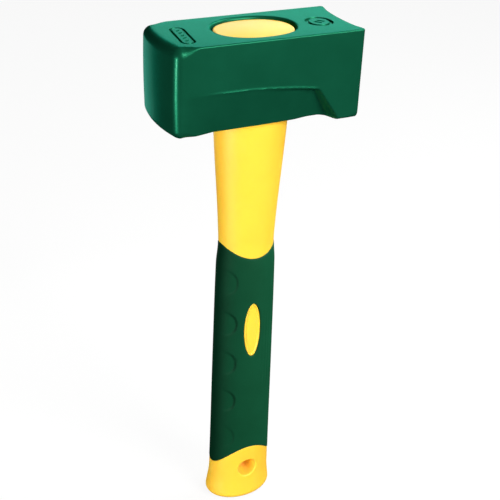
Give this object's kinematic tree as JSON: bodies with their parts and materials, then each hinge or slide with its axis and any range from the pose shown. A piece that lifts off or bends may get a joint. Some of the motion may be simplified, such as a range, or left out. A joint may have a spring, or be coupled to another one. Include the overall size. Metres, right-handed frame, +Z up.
{
  "type": "lump hammer",
  "caption": "Short-handled lump hammer: forged square head with side reliefs, bonded on an oval moulded handle with a soft grip and a hanging hole.",
  "frame": {"origin": "on the handle's axis, at the flat end of the butt", "axes": "+Z up the handle to the head's top; X along the head, with the crowned striking face at -X and the hollow face at +X; Y across the head"},
  "size_m": [0.1045, 0.045, 0.298],
  "materials": {
    "head_paint": "satin green lacquer on forged steel",
    "resin": "matt cured resin",
    "handle_plastic": "smooth moulded yellow plastic",
    "fibreglass": "pultruded glass fibre rod",
    "grip_rubber": "matt soft-touch green elastomer"
  },
  "bodies": {
    "root": {"head": "head_paint", "eye_bond": "resin", "eye_cap": "handle_plastic", "handle_core": "fibreglass", "handle_body": "handle_plastic", "grip": "grip_rubber"}
  },
  "joints": []
}
